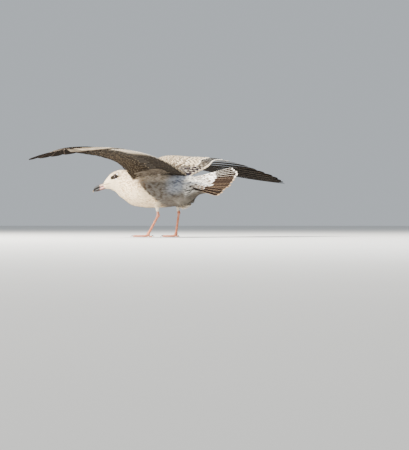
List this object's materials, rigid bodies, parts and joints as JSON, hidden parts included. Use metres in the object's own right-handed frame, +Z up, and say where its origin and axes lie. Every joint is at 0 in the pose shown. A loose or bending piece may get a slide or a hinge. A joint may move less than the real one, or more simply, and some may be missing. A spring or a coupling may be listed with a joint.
{
  "type": "gull standing with spread wings",
  "caption": "Life-size young gull standing on webbed feet, leaning forward with head low, long wings held out and arched, tail fanned.",
  "frame": {"origin": "on the floor under the middle of the bounding box, midway between the wing tips", "axes": "-Y is where the bird faces, +X is its left side, +Z is up"},
  "size_m": [1.3316, 0.5255, 0.2767],
  "materials": {
    "plumage_head": "matt off-white feathers with fine grey-brown streaks",
    "plumage_neck": "matt off-white feathers with fine grey-brown streaks",
    "plumage_body": "matt feathers mottled grey-brown and buff",
    "plumage_wing": "matt feathers barred brown and buff",
    "plumage_primaries": "matt blackish-brown flight feathers",
    "plumage_tail": "matt feathers, white at the base, barred and banded dark brown",
    "plumage_leg": "matt off-white feathers",
    "bill_dark": "smooth horn, blackish with a paler tip",
    "bill_pink": "smooth horn, dull pink with a dark end",
    "eye": "wet dark brown",
    "leg_skin": "dull pink scaled skin",
    "claw": "dark horn"
  },
  "bodies": {
    "root": {"bill_lower": "bill_pink", "bill_upper": "bill_dark", "claw_hind_left": "claw", "claw_hind_right": "claw", "claw_inner_left": "claw", "claw_inner_right": "claw", "claw_middle_left": "claw", "claw_middle_right": "claw", "claw_outer_left": "claw", "claw_outer_right": "claw", "eye_left": "eye", "eye_right": "eye", "foot_left": "leg_skin", "foot_right": "leg_skin", "head": "plumage_head", "neck": "plumage_neck", "shank_left": "leg_skin", "shank_right": "leg_skin", "tail": "plumage_tail", "thigh_left": "plumage_leg", "thigh_right": "plumage_leg", "trunk": "plumage_body", "wing_arm_left": "plumage_wing", "wing_arm_right": "plumage_wing", "wing_hand_left": "plumage_primaries", "wing_hand_right": "plumage_primaries"}
  },
  "joints": []
}
